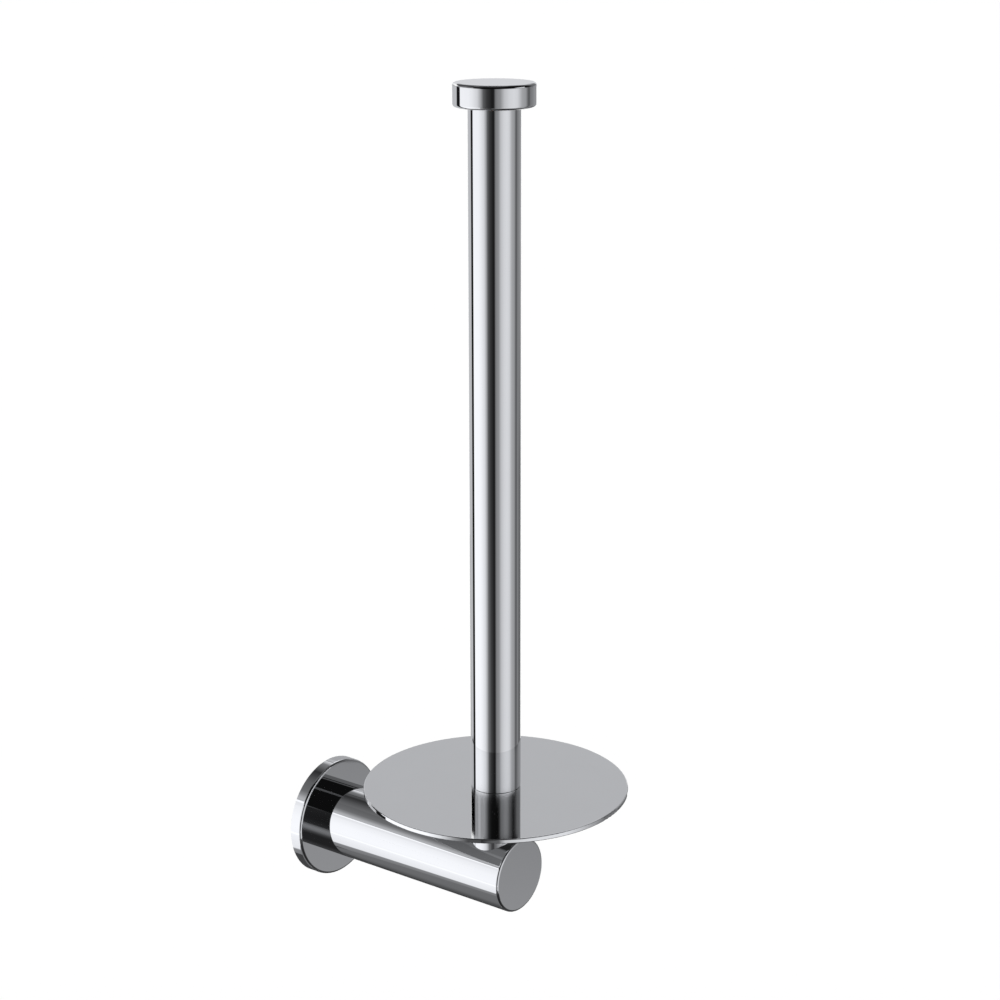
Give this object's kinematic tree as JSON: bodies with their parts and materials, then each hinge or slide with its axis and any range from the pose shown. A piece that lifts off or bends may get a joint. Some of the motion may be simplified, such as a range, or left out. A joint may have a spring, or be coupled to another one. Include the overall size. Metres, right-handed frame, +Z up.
{
  "type": "toilet roll holder",
  "caption": "Wall-mounted upright holder for spare toilet rolls: a round rose and a horizontal arm carry a flat disc and a tall post with a knob, in polished chrome.",
  "frame": {"origin": "centre of the rose's back, on the wall, midway between the two wall screws", "axes": "+Z up along the post, +Y into the wall and square to it, +X to the right for someone who faces the wall; the arm runs out along -Y"},
  "size_m": [0.117, 0.1572, 0.3751],
  "materials": {
    "polished_chrome": "bright chrome plating, mirror polished",
    "polished_steel_sheet": "flat chromed sheet, mirror polished",
    "zinc_plated_steel": "bright zinc plating",
    "stainless_steel": "plain stainless steel",
    "turned_brass": "turned, unplated",
    "clear_nylon": "natural nylon"
  },
  "bodies": {
    "wall mount": {"wall_plate": "zinc_plated_steel"},
    "holder": {"rose": "polished_chrome", "arm_screw": "zinc_plated_steel", "arm_locating_pin": "stainless_steel", "arm_rear_plug": "turned_brass", "arm_tube": "polished_chrome", "arm_end_cap": "polished_chrome", "post_bolt": "zinc_plated_steel", "spring_washer": "stainless_steel", "saddle_washer": "turned_brass", "collar": "polished_chrome", "roll_disc": "polished_steel_sheet"},
    "set screw": {"rose_set_screw": "stainless_steel"},
    "post washer": {"post_washer": "clear_nylon"},
    "post": {"post_tube": "polished_chrome", "post_foot_plug": "turned_brass", "post_top_plug": "turned_brass", "knob_stud": "zinc_plated_steel"},
    "knob washer": {"knob_washer": "clear_nylon"},
    "knob": {"knob": "polished_chrome"}
  },
  "joints": [
    {"name": "holder_off", "type": "slide", "parent": "wall mount", "child": "holder", "axis": [0, -1, 0], "range_m": [0, 0.012]},
    {"name": "set_screw_out", "type": "slide", "parent": "holder", "child": "set screw", "axis": [0, 0, -1], "range_m": [0, 0.003]},
    {"name": "post_turn", "type": "hinge", "parent": "holder", "child": "post washer", "pos_m": [0, -0.0987, 0.04], "axis": [0, 0, 1], "range_deg": [0, 3456]},
    {"name": "post_lift", "type": "slide", "parent": "post washer", "child": "post", "axis": [0, 0, 1], "range_m": [0, 0.012]},
    {"name": "knob_turn", "type": "hinge", "parent": "post", "child": "knob washer", "pos_m": [0, -0.0987, 0.337], "axis": [0, 0, 1], "range_deg": [0, 2520]},
    {"name": "knob_lift", "type": "slide", "parent": "knob washer", "child": "knob", "axis": [0, 0, 1], "range_m": [0, 0.007]}
  ],
  "couplings": [
    {"joint": "post_turn", "follows": "post_lift", "rad_per_m": 5026.5},
    {"joint": "knob_turn", "follows": "knob_lift", "rad_per_m": 6283.2}
  ]
}
